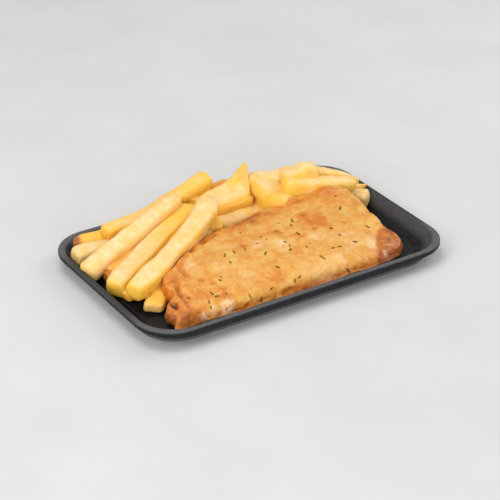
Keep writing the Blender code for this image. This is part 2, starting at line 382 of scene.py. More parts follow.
@dataclass(frozen=True)
class PotatoFinish:
    """Fried potato: pale cream faces, deeper golden edges, and browned places, with painted shade carried in
    the golden on sides and in gaps.
    """

    pale: Colour = (0.84, 0.60, 0.31)
    cream: Colour = (0.81, 0.52, 0.175)
    golden: Colour = (0.83, 0.485, 0.058)
    deep: Colour = (0.74, 0.30, 0.026)
    brown: Colour = (0.30, 0.08, 0.018)
    pallor: Patches = Patches(6, 0.34, 0.66, detail=5, roughness=0.55, bend=0.3)
    glow: Patches = Patches(10, 0.42, 0.68, 0.0, 0.50, 4, 0.6, 0.4)
    breaks: Patches = Patches(3, 0.3, 0.7, 0.0, 0.35, 3, 0.6)
    sheen: Patches = Patches(6, 0.3, 0.7, 0.38, 0.55)
    skin: Bumps = Bumps(1.1, 0.10)
    pits: Bumps = Bumps(4.5, 0.45, 3, 0.6)

    def material(self) -> bpy.types.Material:
        """The potato, which reads the attributes golden, for its golden edges and painted shade, and browned.
        """
        nodes = Palette("fried_potato")
        gold = nodes.sum(nodes.painted("golden"), self.glow)
        browned = nodes.painted("browned")
        broken = nodes.sum(browned, self.breaks, "SUBTRACT")
        colour = nodes.cover(
            self.cream, (self.pallor, self.pale), (gold, self.golden),
            (nodes.spread(browned, 0.0, 0.5), self.deep), (nodes.spread(broken, 0.40, 0.85), self.brown),
        )
        return nodes.finish(
            colour, self.sheen, nodes.bumps(self.skin, self.pits),
            Subsurface_Weight=0.12, Subsurface_Scale=2.0 * MM, Specular_IOR_Level=0.42,
        )


@dataclass(frozen=True)
class BatterFinish:
    """Fried batter: tan and golden patches, browned edges, pale places with a painted highlight among them,
    and painted shade in its deepest recesses.
    """

    tan: Colour = (0.64, 0.262, 0.030)
    light: Colour = (0.69, 0.385, 0.092)
    orange: Colour = (0.58, 0.182, 0.017)
    brown: Colour = (0.26, 0.060, 0.009)
    pale: Colour = (0.84, 0.60, 0.34)
    dark: Colour = (0.07, 0.012, 0.003)
    broad: Patches = Patches(22, 0.38, 0.62, 0.0, 0.38, 3, 0.5, 0.5)
    flecks: Patches = Patches(7, 0.38, 0.64, 0.0, 0.8, 3, 0.5, 0.8)
    blush: Patches = Patches(9, 0.52, 0.72, 0.0, 0.50, 4, 0.65, 0.8)
    torn: Patches = Patches(5.5, 0.34, 0.66, -0.16, 0.16, 5, 0.65, 0.6)
    pale_grain: Patches = Patches(2.4, 0.35, 0.60, 0.25, 1.0)
    sheen: Patches = Patches(5, 0.3, 0.7, 0.36, 0.58, 4)
    speck: float = 2.6  # millimetres from one to the next
    crumbs: Bumps = Bumps(1.2, 0.14, 4, 0.65)
    blisters: Bumps = Bumps(3.4, 0.4)

    def material(self) -> bpy.types.Material:
        """The batter, which reads the attributes browned and pale."""
        nodes = Palette("batter")
        mottle = nodes.sum(self.broad, self.flecks)
        browned = nodes.painted("browned")
        edge = nodes.sum(browned, self.torn)
        orange = nodes.sum(nodes.spread(edge, 0.05, 0.55), self.blush)
        # beyond 0.92, browned carries only the painted shade of the hole and the crease at the left end
        brown, recess_shading = nodes.spread(edge, 0.48, 1.05), nodes.spread(browned, 0.92, 1.0, 0.0, 0.7)
        # pale places, including the painted highlight on the right corner
        pale_share = nodes.sum(nodes.painted("pale"), self.pale_grain, "MULTIPLY")
        specks = nodes.spread(nodes.cells(self.speck), 0.08, 0.22, 0.45, 0.0)
        colour = nodes.cover(
            self.tan, (mottle, self.light), (orange, self.orange), (brown, self.brown), (recess_shading, self.dark),
            (pale_share, self.pale), (specks, self.orange),
        )
        crisp = nodes.spread(browned, 0.2, 0.8, 0.0, 0.18)
        return nodes.finish(
            colour, nodes.sum(self.sheen, crisp, "SUBTRACT"), nodes.bumps(self.crumbs, self.blisters),
            Subsurface_Weight=0.05, Subsurface_Scale=1.2 * MM, Specular_IOR_Level=0.38,
        )


@dataclass(frozen=True)
class HerbFinish:
    """Chopped dried herb, dark green with lighter and browner flecks."""

    green: Colour = (0.135, 0.083, 0.014)
    dry: Colour = (0.26, 0.145, 0.026)
    dryness: Patches = Patches(3, 0.35, 0.65)
    dullness: Patches = Patches(1, 0.3, 0.7, 0.65, 0.8, 2)
    veins: Bumps = Bumps(0.5, 0.05)

    def material(self) -> bpy.types.Material:
        """The herb."""
        nodes = Palette("herb")
        colour = nodes.cover(self.green, (self.dryness, self.dry))
        return nodes.finish(colour, self.dullness, nodes.bumps(self.veins), Specular_IOR_Level=0.1)


@dataclass(frozen=True)
class TableFinish:
    """The plain pale floor."""

    pale: Colour = (0.62, 0.62, 0.615)
    dull: Colour = (0.59, 0.59, 0.585)
    clouding: Patches = Patches(80, 0.3, 0.7)
    sheen: Patches = Patches(50, 0.3, 0.7, 0.6, 0.7, 2)

    def material(self) -> bpy.types.Material:
        """The floor."""
        nodes = Palette("pale_floor")
        colour = nodes.cover(self.dull, (self.clouding, self.pale))
        return nodes.finish(colour, self.sheen, [])


# ---- tray


@dataclass
class Tray:
    """The foam tray: one wall profile drawn out round a rounded rectangle."""

    low: Vector
    high: Vector
    corner: float = 26 * MM  # radius of the rim's corners
    corner_steps: int = 14
    side_cuts: int = 9
    base_inset: float = 10.2 * MM  # from the rim to the edge of the flat underside
    sharp: float = 35  # degrees; a fold under this is shaded smooth
    # the wall as (inset, height) in millimetres, from the underside out, over the
    # lip and down to the floor
    wall: Rows = (
        (8.2, 0.1), (7.5, 0.25), (7.2, 0.6), (7.1, 1.2), (7.15, 1.8), (7.4, 2.15), (4.4, 4.7), (0.95, 7.95),
        (0.5, 8.4), (0.18, 8.75), (0, 9.2), (0, 10.9), (0.12, 11.45), (0.45, 11.82), (1, 12),
        (2.9, 12), (3.6, 11.8), (4.15, 11.3), (6.6, 8.2), (9, 5.05), (9.7, 4.25), (10.6, 3.62),
        (11.1, 3.35), (11.6, 2.95), (12.2, 2.8), (12.9, 2.8), (13.5, 3.1), (14.1, 3.42), (14.8, 3.5),
    )

    def build(self) -> Piece:
        """Models the tray.

        Returns:
            The tray, closed and with its finish.
        """
        half = (self.high - self.low) / 2
        piece = start_from(bpy.ops.mesh.primitive_plane_add, "foam_tray", 2, (half.x, half.y, 1))
        choose(piece, Pick.VERTS, lambda vert: True)
        bpy.ops.mesh.bevel(offset=self.corner, segments=self.corner_steps, affect="VERTICES")
        choose(piece, Pick.EDGES, lambda edge: edge.calc_length() > 2 * self.corner)
        bpy.ops.mesh.subdivide(number_cuts=self.side_cuts)
        inset, height = self.base_inset, 0.0
        choose(piece, Pick.FACES, lambda face: True)
        self.resize(half, 0.0, inset)
        for next_inset, next_height in ((a * MM, b * MM) for a, b in self.wall):
            upwards = {"value": (0, 0, next_height - height)}
            bpy.ops.mesh.extrude_region_move(TRANSFORM_OT_translate=upwards)
            self.resize(half, inset, next_inset)
            inset, height = next_inset, next_height
        bpy.ops.mesh.select_all(action="SELECT")
        bpy.ops.mesh.normals_make_consistent(inside=False)
        bpy.ops.object.mode_set(mode="OBJECT")
        bpy.ops.object.shade_smooth_by_angle(angle=math.radians(self.sharp))
        self.paint_highlights(piece)
        piece.data.materials.append(FoamFinish().material())
        return piece

    @staticmethod
    def paint_highlights(piece: Piece) -> None:
        """Paints the foam's painted highlights: a bright line along its lip and its foot and, faintly, a
        sheen on its inner wall.
        """
        places, normals = corners_of(piece)
        along, across, height = np.abs(places.T / MM)
        # painted highlight: a bright line along the lip's top, dimmer on the short sides, one along the
        # foot's edge, and a faint sheen on the inner wall, brightest where it faces -X towards the key lamp
        lip = 0.9 * smooth_step(11.4, 11.95, height) + 0.3 * smooth_step(10.6, 11.6, height)
        short_side = smooth_step(90, 105, along) * (1 - smooth_step(30, 60, across))
        lip *= 1 - 0.72 * short_side
        foot = (1 - smooth_step(1.8, 2.3, height)) * smooth_step(0.02, 0.2, height)
        wall = 0.24 + 0.34 * smooth_step(0.2, 0.5, -normals[:, 0])
        wall *= smooth_step(3.8, 7.0, height) * smooth_step(0.3, 0.5, normals[:, 2])
        paint(piece, "painted_highlight", np.maximum(lip, np.maximum(foot, wall)))

    @staticmethod
    def resize(half: Vector, inset: float, wanted: float) -> None:
        """Scales the selected outline from one inset to another."""
        share = ((half.x - wanted) / (half.x - inset), (half.y - wanted) / (half.y - inset), 1)
        bpy.ops.transform.resize(value=share, center_override=(0, 0, 0))


# ---- fish


@dataclass(frozen=True)
class Mark:
    """A soft oval place on the fillet's top, in millimetres, and what it does there."""

    x: float
    y: float
    half_length: float
    half_width: float
    amount: float
    turn: float = 0  # of its length from +X, in degrees
    crisp: bool = False  # whether it is even all over and ends at its edge

    def reach(self, places: Values) -> Values:
        """What the mark adds at each place: its amount in the middle, fading outwards."""
        x, y = places[:, 0] / MM - self.x, places[:, 1] / MM - self.y
        turn = math.radians(self.turn)
        along = (x * math.cos(turn) + y * math.sin(turn)) / self.half_length
        across = (y * math.cos(turn) - x * math.sin(turn)) / self.half_width
        if self.crisp:
            return self.amount * (1.0 - smooth_step(0.85, 1.1, np.hypot(along, across)))
        return self.amount * np.exp(-1.5 * (along**2 + across**2))


def add_up(places: Values, rows: Rows) -> Values:
    """What marks with those values add together at each place."""
    return sum(Mark(*row).reach(places) for row in rows)


@dataclass
class Fillet:
    """The battered fish, carved from a fine copy of its solid."""

    cad: Piece
    grid: float = 0.80 * MM
    smoothing: int = 6
    plain: float = 2.5 * MM  # up from its underside, the crust's lumps reach their full height
    lumps: tuple[Lumps, ...] = (
        Lumps("crust_lumps", 9 * MM, 2.6 * MM), Lumps("crust_crumbs", 3.2 * MM, 0.7 * MM),
    )
    dents: Rows = (  # the values of a Mark each
        # the creases, the hole and the curled tip of the left end
        (-64, -22.5, 7.5, 1.9, -2.6, 85), (-75.5, -35, 9, 1.6, -1.6, -110), (-77.5, -46, 7, 1.6, -1.5, -92),
        (-85, -46, 4.5, 2.3, -4.5, -65), (-91, -50, 3.5, 3, 1.2), (-70, -28, 10, 2.6, 0.9, -100),
        (-83, -57, 4, 2.5, 0.9, 30), (-78, -60, 4, 2, -0.9),
        # nicks along the back edge, and the step up to the hump
        (-35, 1.5, 4.5, 2.2, -2.8, 35), (-22, 2, 3, 1.8, -1.6, 80), (-47, -4, 3, 1.8, -1.3, 50),
        (-9, 8, 3.5, 1.8, -1.4, 60), (5, 13, 3, 1.8, -1.4, 70), (20, 15, 3, 1.8, -1.2, 80),
        (79, -36, 4, 2.2, -1.8, 60), (68, 13, 7.5, 7, 3), (58, 15, 3, 5, -1), (43, 18, 8, 4, 2),
        (-5, -66, 130, 7, -3.2),
        # scars and wrinkles
        (-16, -16, 5, 1.8, -1.5, 80), (10, -11, 3.5, 1.8, -1.6, 80), (-50, -15, 11, 1.6, -0.9, 79),
        (-57, -27, 8, 1.6, -0.8, 70), (-30, -10, 9, 1.8, -0.8, 60), (-3, -8, 8, 1.8, -0.8, 55),
        (-44, -34, 12, 2, -0.7, 20), (24, 2, 14, 3, 0.7, 10), (-2, -42, 20, 4, 0.8, 5),
        (-30, -51, 14, 2.5, -0.8, 12), (40, -14, 7, 5, -0.7, 90), (55, -32, 11, 2, -0.9, 80),
        (26, -52, 7, 2, -0.8, -75), (33, -52, 8, 2.4, 1, -75), (47, -51, 8, 2, -0.7, -75),
        # puffed places at the front, and the fold before the right corner
        (-55, -60, 5, 3, 1.3, 15), (-65, -60, 3, 2.6, 1), (-72, -61, 2.4, 2.2, 1.5),
        (66.5, -50, 15, 1.5, -1.5, 56), (61, -49, 8, 2.6, 0.9, 58),
    )
    browning: Rows = (
        # patches on top
        (38, -5, 6, 5, 0.62), (37, -14, 6.5, 5, 0.52, 90), (46, -12, 6, 5.5, 0.4, 90),
        (43, -20, 7, 6, 0.5, 90), (35, -23, 3.5, 2.5, 0.5), (11, -14, 6, 4, 0.6, 90),
        (-16, -16, 6.5, 3, 0.65, 80), (22, -25, 6, 4, 0.35), (11, -41, 7, 4.5, 0.35, 70),
        (-14, -53, 11, 5.5, 0.42), (62, -6, 6, 4, 0.3), (78, -9, 6, 5, 0.35), (56, -25, 5, 4, 0.3),
        (67, 9, 15, 9, 0.5, -15), (-52, -26, 8, 5, 0.2, 70),
        # along the back edge
        (9, 12, 14, 6.5, 0.85, 4), (7, 6, 4, 3, 0.5), (24, 7, 7, 5, 0.4, -20), (43, 13, 14, 5, 0.55),
        (-7, 7, 10, 5.5, 0.65, 22), (-27, 3, 9, 3.5, 0.85, 18), (-35, 1, 5, 4, 0.6, 30),
        (-47, -4, 6, 4, 0.6, 30), (-57, -12, 11, 3.5, 0.45, 40), (-4, 0, 12, 4, 0.2, 20),
        # the left end
        (-75.5, -35, 10, 2.4, 0.6, -110), (-77.5, -46, 8, 2.2, 0.5, -92), (-75, -25, 10, 7, 0.45, -60),
        (-83, -31, 11, 6, 0.55, -80), (-91, -49, 5, 5, 0.6), (-85, -57, 12, 7, 0.55), (-78, -60, 6, 3, 0.5),
        (-78, -49, 12, 8, 0.28, 30), (-73, -59, 9, 4, 0.3), (-68, -46, 6, 5, 0.2), (-71, -16, 6, 5, 0.2),
        # spots and bands along the front, and the right corner; the mark at (18, -57.5), below 0, is painted
        # light that lifts the shade of the relief there
        (-27, -60, 13, 6, -0.5), (18, -57.5, 9, 4, -0.45), (6, 2, 5, 4, 0.3), (-53, -55, 8, 5, 0.5, -10),
        (-52, -49, 2.4, 2, 0.5), (-59, -37, 4, 2.6, 0.5), (-54, -42, 3.2, 2.4, 0.55), (53, -58, 8, 4, 0.3),
        (-66, -50, 8, 5, 0.2), (75.6, -56.4, 26, 13.2, 0.7, 56, True), (66, -39, 3, 2.4, 0.4),
        (58, -54, 3, 2, 0.4), (77, -50, 5, 3, 0.2, 40), (84, -44, 4, 3, 0.15), (68, -58, 4, 2.5, 0.2, 20),
    )
    # painted shade in the hole and the crease of the left end, the values of a Mark each
    recess_shade: Rows = ((-64, -22.5, 8, 2.4, 0.6, 85), (-85, -46, 5, 2.7, 0.9, -65))
    # the values of a Mark each: pale places on the batter, the last one a painted highlight on the right
    # corner
    pale_and_highlight_marks: Rows = (
        (-55, -60, 4.8, 3.2, 1.4, 15), (-65, -60, 3.2, 3, 0.6), (-72, -61, 2.4, 2.2, 0.8),
        (7, -25, 3.4, 3, 1.2), (5, -30, 7, 5, 0.45), (31, -30, 8, 5, 0.45), (51, -45, 5, 4, 0.5),
        (61, -49, 6, 3, 1.1, 60), (33, -52, 8, 3, 0.6, -75), (19, -57, 16, 6, 0.38),
        (-57, -20, 7, 4.5, 0.5, 60), (-7, -20, 7, 5, 0.55), (-30, -44, 7, 5, 0.35), (-26, -14, 6, 4, 0.35),
        (-40, -30, 9, 5, 0.25), (48, -35, 9, 5, 0.3), (66.5, -58, 2.2, 1.8, 0.9),
    )

    def build(self) -> Piece:
        """Models the fillet.

        Returns:
            The fillet, closed and with its finish.
        """
        piece = fine_copy(self.cad, "battered_fish", self.grid, self.smoothing)
        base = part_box("fish")[0].z
        self.carve(piece, base)
        crust = piece.vertex_groups.new(name="crust")
        for index, height in enumerate(corners_of(piece)[0][:, 2]):
            crust.add([index], float(smooth_step(base, base + self.plain, height)), "REPLACE")
        for lumps in self.lumps:
            lumps.push_out(piece, "crust")
        self.brown(piece, base)
        piece.vertex_groups.clear()
        dress(piece, BatterFinish().material())
        return piece

    def carve(self, piece: Piece, base: float) -> None:
        """Raises and sinks the top by the dents, and leaves its underside at the height base."""
        places, normals = corners_of(piece)
        facing = smooth_step(0.1, 0.6, normals[:, 2]) * smooth_step(base, base + 4 * MM, places[:, 2])
        places[:, 2] += MM * facing * add_up(places, self.dents)
        piece.data.vertices.foreach_set("co", places.astype(np.float32).ravel())
        piece.data.update()

    def brown(self, piece: Piece, base: float) -> None:
        """Paints how brown and how pale the batter is, with painted shade in the hole and the crease of the
        left end, painted light on the front and a painted highlight on the right corner.

        Args:
            piece: the fillet.
            base: the height of its underside.
        """
        places, normals = corners_of(piece)
        # darker on its upright sides and towards its underside
        side = 1.0 - smooth_step(-0.1, 0.75, normals[:, 2])
        thick = smooth_step(-75, -55, places[:, 0] / MM)  # all but the thin left end
        lowest, fade = 4 + 0.7 * thick, 7.5 - 3.4 * thick
        low = 1 - smooth_step(0, 1, ((places[:, 2] - base) / MM - lowest) / fade)
        crust = 0.04 + (0.20 - 0.12 * thick) * side + (0.80 + 0.25 * thick) * low * (0.3 + 0.7 * side)
        crust = np.minimum(crust + add_up(places, self.browning), 0.80 + 0.08 * low * thick)
        # the painted shade of the hole and the crease goes on top of the capped browning
        paint(piece, "browned", crust + add_up(places, self.recess_shade))
        paint(piece, "pale", add_up(places, self.pale_and_highlight_marks))


# ---- chips


class Layer(Enum):
    """Where in the heap a chip lies."""

    FLOOR = "chips_on_floor"
    MIDDLE = "chips_in_middle"
    TOP = "chips_on_top"


@dataclass(frozen=True)
class Station:
    """A place along a chip, and how the chip's section changes there."""

    share: float  # of the way from the near end to the far one
    wide: float = 1.0
    deep: float = 1.0
    left: float = 0.0  # millimetres
    up: float = 0.0


@dataclass(frozen=True)
class Chip:
    """One thick-cut chip, in millimetres.

    start and end are the middles of its two ends, roll turns it about its own
    length, side and rise bow its middle to the left and up, end_size is the far
    end's size as a share of the near end's, and peak draws the far end's upper
    edge out to a point, which leans forward by lean for each millimetre up.
    """

    name: str
    layer: Layer
    start: Spot
    end: Spot
    width: float
    depth: float
    roll: float = 0
    side: float = 0
    rise: float = 0
    end_size: float = 1.0
    peak: float = 0.0
    lean: float = 1.3
    stations: Rows = ()  # the values of a Station each
    near_brown: float = 0.0
    far_brown: float = 0.0
    right_brown: float = 0.0
    browned: float = 0.0  # all over
    golden: float = 0.0  # how much deeper its colour is all over: partly its own tone, partly painted shade, and painted light where below 0
    right_side_shade: float = 0.0  # painted shade: how much deeper its right side is, seen from the near end
    near_end_shade: float = 0.0  # painted shade on its near end, and painted light where below 0
    far_half_shade: float = 0.0  # painted shade on its far half, where the chips shade each other
    upright_shade: float = 0.62  # painted shade on its upright faces
    rings: int = 10  # that it is divided into

    def build(self, luck: random.Random) -> Piece:
        """Models the chip at its place.

        Args:
            luck: where its small uneven changes come from.

        Returns:
            The chip, with its attributes but no finish.
        """
        start, end = Vector(self.start) * MM, Vector(self.end) * MM
        length = (end - start).length
        section = Vector((self.width, self.depth)) * MM
        block = bpy.ops.mesh.primitive_cube_add
        piece = start_from(block, f"chip_{self.name}", 1, (length, *section))
        self.soften(piece, length, min(section))
        self.shape(piece, length, luck)
        if self.peak:
            self.draw_out(piece, length)
        bpy.ops.object.mode_set(mode="OBJECT")
        add_modifier(piece, "SUBSURF", levels=2, render_levels=2)
        forward = (end - start).normalized()
        sideways = Vector((0, 0, 1)).cross(forward).normalized()
        turn = Matrix((forward, sideways, forward.cross(sideways))).transposed()
        turn = turn @ Matrix.Rotation(math.radians(self.roll), 3, "X")
        self.colour(piece, length, section, turn.transposed() @ Vector((0, 0, 1)))
        piece.matrix_world = Matrix.Translation((start + end) / 2) @ turn.to_4x4()
        take_up(piece)
        bpy.ops.object.transform_apply(location=True, rotation=True, scale=True)
        return piece

    def soften(self, piece: Piece, length: float, thin: float) -> None:
        """Rounds the block's long edges and its two cut ends, and divides its length.

        Args:
            piece: the block, in edit mode.
            length: its length.
            thin: the smaller side of its section.
        """

        def lengthwise(edge: bmesh.types.BMEdge) -> bool:
            return abs(edge.verts[0].co.x - edge.verts[1].co.x) > 0.9 * length

        choose(piece, Pick.EDGES, lengthwise)
        rounding = 0.31 * thin
        bpy.ops.mesh.bevel(offset=rounding, segments=2, profile=0.5, affect="EDGES")
        choose(piece, Pick.EDGES, lengthwise)
        bpy.ops.mesh.subdivide(number_cuts=self.rings - 1)
        bulge = ((0.13, 0.13), (0.20, 0.05))  # steps inwards and out of the end, as shares of thin
        for sign in (-1, 1):
            choose(piece, Pick.FACES, lambda face: sign * face.normal.x > 0.9)
            for inwards, out in bulge:
                bpy.ops.mesh.inset(thickness=inwards * thin, depth=out * thin)

    def shape(self, piece: Piece, length: float, luck: random.Random) -> None:
        """Tapers, bows and twists the block, one ring at a time.

        Args:
            piece: the block, in edit mode.
            length: its length.
            luck: where its small uneven changes come from.
        """
        uneven, twist, sway = 0.05, 3.0, (0.30, 0.25)  # a share, degrees, and millimetres left and up
        drift = [Vector((luck.uniform(-1, 1), luck.uniform(-1, 1), luck.uniform(-1, 1))) for _ in range(4)]
        for ring in range(self.rings + 1):
            share = ring / self.rings

            def in_ring(vert: bmesh.types.BMVert) -> bool:
                nearest = round(self.rings * (vert.co.x / length + 0.5))
                return min(max(nearest, 0), self.rings) == ring

            choose(piece, Pick.VERTS, in_ring)
            wobble = sum((drift[k] * math.sin(math.pi * (k + 1) * share + k) for k in range(4)), Vector())
            size = 1 + (self.end_size - 1) * share
            wide, deep, left, up = self.at(share)
            arch = math.sin(math.pi * share)
            middle = (-length / 2 + length * share, 0, 0)
            factors = (1, size * wide * (1 + uneven * wobble.x), size * deep * (1 + uneven * wobble.y))
            bpy.ops.transform.resize(value=factors, center_override=middle)
            angle = math.radians(twist * wobble.z)
            bpy.ops.transform.rotate(value=angle, orient_axis="X", center_override=middle)
            left = self.side * arch + left + sway[0] * wobble.y
            up = self.rise * arch + up + sway[1] * wobble.x
            bpy.ops.transform.translate(value=(0, MM * left, MM * up))

    def draw_out(self, piece: Piece, length: float) -> None:
        """Pulls the far end's upper edge up to a point, less so on the rings before it.

        Args:
            piece: the chip, in edit mode.
            length: its length.
        """
        high = 0.2 * self.depth * MM
        forward, upward = self.lean * self.peak * MM, self.peak * MM
        # how much of the length each pull takes in, and its share of the whole pull
        for reach, share in ((0.35, 0.10), (0.20, 0.18), (0.08, 0.72)):
            choose(piece, Pick.VERTS, lambda vert: vert.co.x > (0.5 - reach) * length and vert.co.z > high)
            bpy.ops.transform.translate(value=(share * forward, 0, share * upward))
            slim = (1, 1 - 0.7 * share, 1)
            bpy.ops.transform.resize(value=slim, center_override=(0, -0.25 * self.width * MM, 0))
        tip = (0.5 * length + forward, -0.38 * self.width * MM, 0.5 * self.depth * MM + upward)
        bpy.ops.transform.resize(value=(0.4, 0.4, 0.45), center_override=tip)

    def at(self, share: float) -> tuple[float, float, float, float]:
        """The section's width and depth, as factors, and its shift left and up at a share of the length."""
        found = [1.0, 1.0, 0.0, 0.0]
        stations = [Station(*row) for row in self.stations]
        for near, far in zip(stations, stations[1:]):
            if near.share <= share <= far.share:
                part = smooth_step(near.share, far.share, share)
                found = [a + (b - a) * part for a, b in zip(astuple(near)[1:], astuple(far)[1:])]
        return tuple(found)

    def colour(self, piece: Piece, length: float, section: Vector, upright: Vector) -> None:
        """Paints the edges golden and the browned ends brown, and adds painted shade to its upright faces,
        right side, near end and far half, with painted light where a setting is below 0, before the chip is
        placed.

        Args:
            piece: the chip, along X.
            length: its length.
            section: its width and depth.
            upright: what will be upwards once it is placed.
        """
        places, normals = corners_of(piece)
        along = places[:, 0] / length
        upward = normals @ np.array(upright)
        right = smooth_step(0.2, 0.7, -normals[:, 1])
        corner = np.abs(places[:, 1] / section.x * 2) * np.abs(places[:, 2] / section.y * 2)
        golden = self.golden + 0.40 * smooth_step(0.4, 0.95, corner)
        golden += 0.15 * smooth_step(0.42, 0.5, np.abs(along))
        # painted shade: deeper golden on upright faces, the right side, the near end and the far half; a
        # setting below 0 paints light instead
        golden += self.upright_shade * (1 - smooth_step(0.15, 0.85, upward))
        golden += self.right_side_shade * right
        first = (1 - smooth_step(-0.44, -0.28, along)) * (1 - smooth_step(0.6, 0.9, upward))
        golden += self.near_end_shade * np.maximum(first, smooth_step(0.2, 0.7, -normals[:, 0]))
        golden += self.far_half_shade * smooth_step(-0.15, 0.35, along)
        paint(piece, "golden", golden)
        near = self.near_brown * (1 - smooth_step(-0.5, -0.43, along))
        far = self.far_brown * smooth_step(0.38, 0.5, along)
        paint(piece, "browned", self.browned + near + far + self.right_brown * right)


FLOOR, MIDDLE, TOP = Layer.FLOOR, Layer.MIDDLE, Layer.TOP
CHIPS = (
    Chip(
        "front_stub", FLOOR, (-99, -10.5, 8), (-58, -4, 8), 10.5, 6.5, end_size=1.1, golden=0.2,
        near_brown=0.25,
    ),
    Chip(
        "beside_fish", FLOOR, (-90.3, -32.4, 8), (-73.5, -5.5, 9.5), 16.5, 11, roll=10, golden=0.9,
        near_end_shade=-0.7, upright_shade=0.2, browned=0.13,
        stations=((0, 0.84, 0.72, 0.3), (0.3, 0.72, 1, -1.6), (1, 0.6, 0.9, -2.6)),
    ),
    Chip("browned_corner", FLOOR, (-96.5, 16, 8), (-50, 18, 7.5), 10, 8, browned=0.8, far_brown=0.5),
    Chip(
        "left_stub", FLOOR, (-103, 46, 10.3), (-45, 42, 10.5), 14, 12.5, roll=5, end_size=0.9, upright_shade=0,
        golden=-0.4,
    ),
    Chip(
        "back_left", FLOOR, (-96, 57, 10.5), (-38, 55, 11), 13, 12, roll=15, golden=1, near_brown=0.85,
        browned=0.06,
    ),
    Chip("floor_middle", FLOOR, (-66, 8, 9.5), (-17, 24, 12.5), 12, 11, golden=0.9),
    Chip("floor_back", FLOOR, (-36, 55, 11), (30, 57, 11), 13, 13),
    Chip("floor_inner", FLOOR, (-42, 38, 10.5), (20, 44, 10.5), 14, 13, golden=0.4),
    Chip(
        "behind_fish", FLOOR, (-7, 29.5, 12.4), (51, 33, 13), 15, 12, roll=32, end_size=0.9, upright_shade=0.2,
        golden=0.3, far_half_shade=0.3,
        stations=((0, 0.9, 0.9), (0.2,), (1,)),
    ),
    Chip("floor_right_back", FLOOR, (34, 55, 11), (90, 51, 11), 13, 13, end_size=0.9),
    Chip("floor_right", FLOOR, (46, 42, 10.5), (96, 36, 10.5), 13, 13),
    Chip("right_stub", FLOOR, (101.5, 12, 10), (82, 35, 10.5), 13, 11.5, roll=-16, upright_shade=0, golden=-0.6),
    Chip(
        "front_low", MIDDLE, (-101, -1, 9.9), (-22, 40, 24), 18, 13, roll=5, end_size=0.7, right_side_shade=0.6,
        near_end_shade=0.25, far_half_shade=0.8, far_brown=0.14,
        stations=((0, 0.86, 1.06, -0.8, -0.6), (0.15, 0.98, 1, -0.3), (0.6, 1, 1, 0.5), (1,)),
    ),
    Chip(
        "front_high", MIDDLE, (-97.5, -22.5, 16), (-14, 31, 28.5), 15, 13, roll=20, side=-3, rise=1,
        end_size=1.25, golden=-0.35, near_end_shade=0.8, near_brown=0.06,
        stations=(
            (0, 0.82, 1, 1), (0.12, 0.88, 1, 0.8), (0.38, 0.86, 1.1, 0.2, -0.6),
            (0.62, 0.84, 1.1, -1.2, -0.6), (0.85, 0.92, 1.05, -1.8), (1, 0.86, 1, -1.2),
        ),
    ),
    Chip(
        "left_high", MIDDLE, (-106, 24, 10.6), (-29, 46, 30.5), 14, 13, roll=16, rise=1, end_size=0.9,
        far_brown=0.12, right_side_shade=0.1, upright_shade=0.2, golden=-0.25, near_end_shade=-0.7,
        stations=(
            (0, 1.04), (0.2, 1.04), (0.45, 1, 0.95, -1.8), (0.7, 0.92, 0.95, -1.2), (0.9, 0.95, 1, -0.5),
            (1, 0.8, 0.9, -0.4),
        ),
    ),
    Chip(
        "back_long", MIDDLE, (-78.5, 50, 19.5), (3, 59, 30.5), 13, 12, roll=12, rise=-4, end_size=1.1,
        near_end_shade=1.2, right_side_shade=0.35, golden=0.3, far_half_shade=0.35,
        stations=(
            (0, 0.92, 0.85, 0, -0.8), (0.2, 1, 0.95, 0, -1), (0.5, 0.95, 0.92, 0, -1.4),
            (0.75, 0.98, 0.98, 0, -0.6), (0.92, 1.08, 1.12, 0, 0.8), (1, 1, 1.05, 0, 0.8),
        ),
    ),
    Chip("end_on", MIDDLE, (-16.5, 21, 13), (-9, 56, 17), 18, 13, golden=0.9, browned=0.06),
    Chip(
        "middle_strip", MIDDLE, (-8, 35, 20.5), (24, 36, 21), 10, 7, roll=-8, golden=0.9, far_brown=0.9,
        browned=0.26,
    ),
    Chip(
        "browned_back", MIDDLE, (-32, 56, 18.5), (20, 58, 20.4), 14, 13, end_size=0.9, golden=0.8,
        browned=0.4,
    ),
    Chip(
        "pointed_right", MIDDLE, (66, 38, 15.5), (103.5, 20.5, 13.2), 11, 10, end_size=0.6, golden=0.2,
        peak=1.4, lean=3.2,
    ),
    Chip("right_inner", MIDDLE, (10, 50, 20), (74, 43, 20), 14, 13),
    Chip(
        "peak", TOP, (-14, 40, 23.5), (21.5, 43, 25.7), 10, 15, roll=-45, end_size=1.2, golden=0.05,
        far_half_shade=0.2, far_brown=0.16, peak=8,
        stations=((0, 0.9, 0.85), (0.3,), (1,)),
    ),
    Chip(
        "crosswise", TOP, (37, 49, 24.3), (40.5, 19, 17.3), 27, 18, roll=-12, rise=-2.5, right_side_shade=0.9,
        upright_shade=0.1, far_half_shade=0.7, far_brown=0.06, right_brown=0.17,
        stations=((0, 0.95, 0.95), (0.5,), (0.8, 0.95), (1, 0.8, 0.8)),
    ),
    Chip("broad_back", TOP, (25, 49, 25.5), (62, 43, 24), 15, 13, roll=6),
    Chip(
        "over_fish", TOP, (46.5, 28.5, 25), (93.5, 17.5, 21), 16, 16, roll=5, end_size=0.62, near_end_shade=0.7,
        golden=0.15, upright_shade=0.4,
        stations=((0, 0.9), (0.08, 1.1, 1.14), (0.25, 1.12, 1.12), (0.5,), (1,)),
    ),
    Chip(
        "behind_top", TOP, (62, 38, 26.5), (100.5, 24, 17.5), 13, 13, roll=-12, rise=2.5, end_size=0.8,
        stations=((0,), (0.8,), (1, 0.75, 0.75)),
    ),
    Chip(
        "highest", TOP, (49, 34, 30.3), (70.5, 29.5, 32.3), 13, 12, roll=-4, end_size=1.1,
        stations=((0, 0.9, 0.8), (0.35,), (1,)),
    ),
)


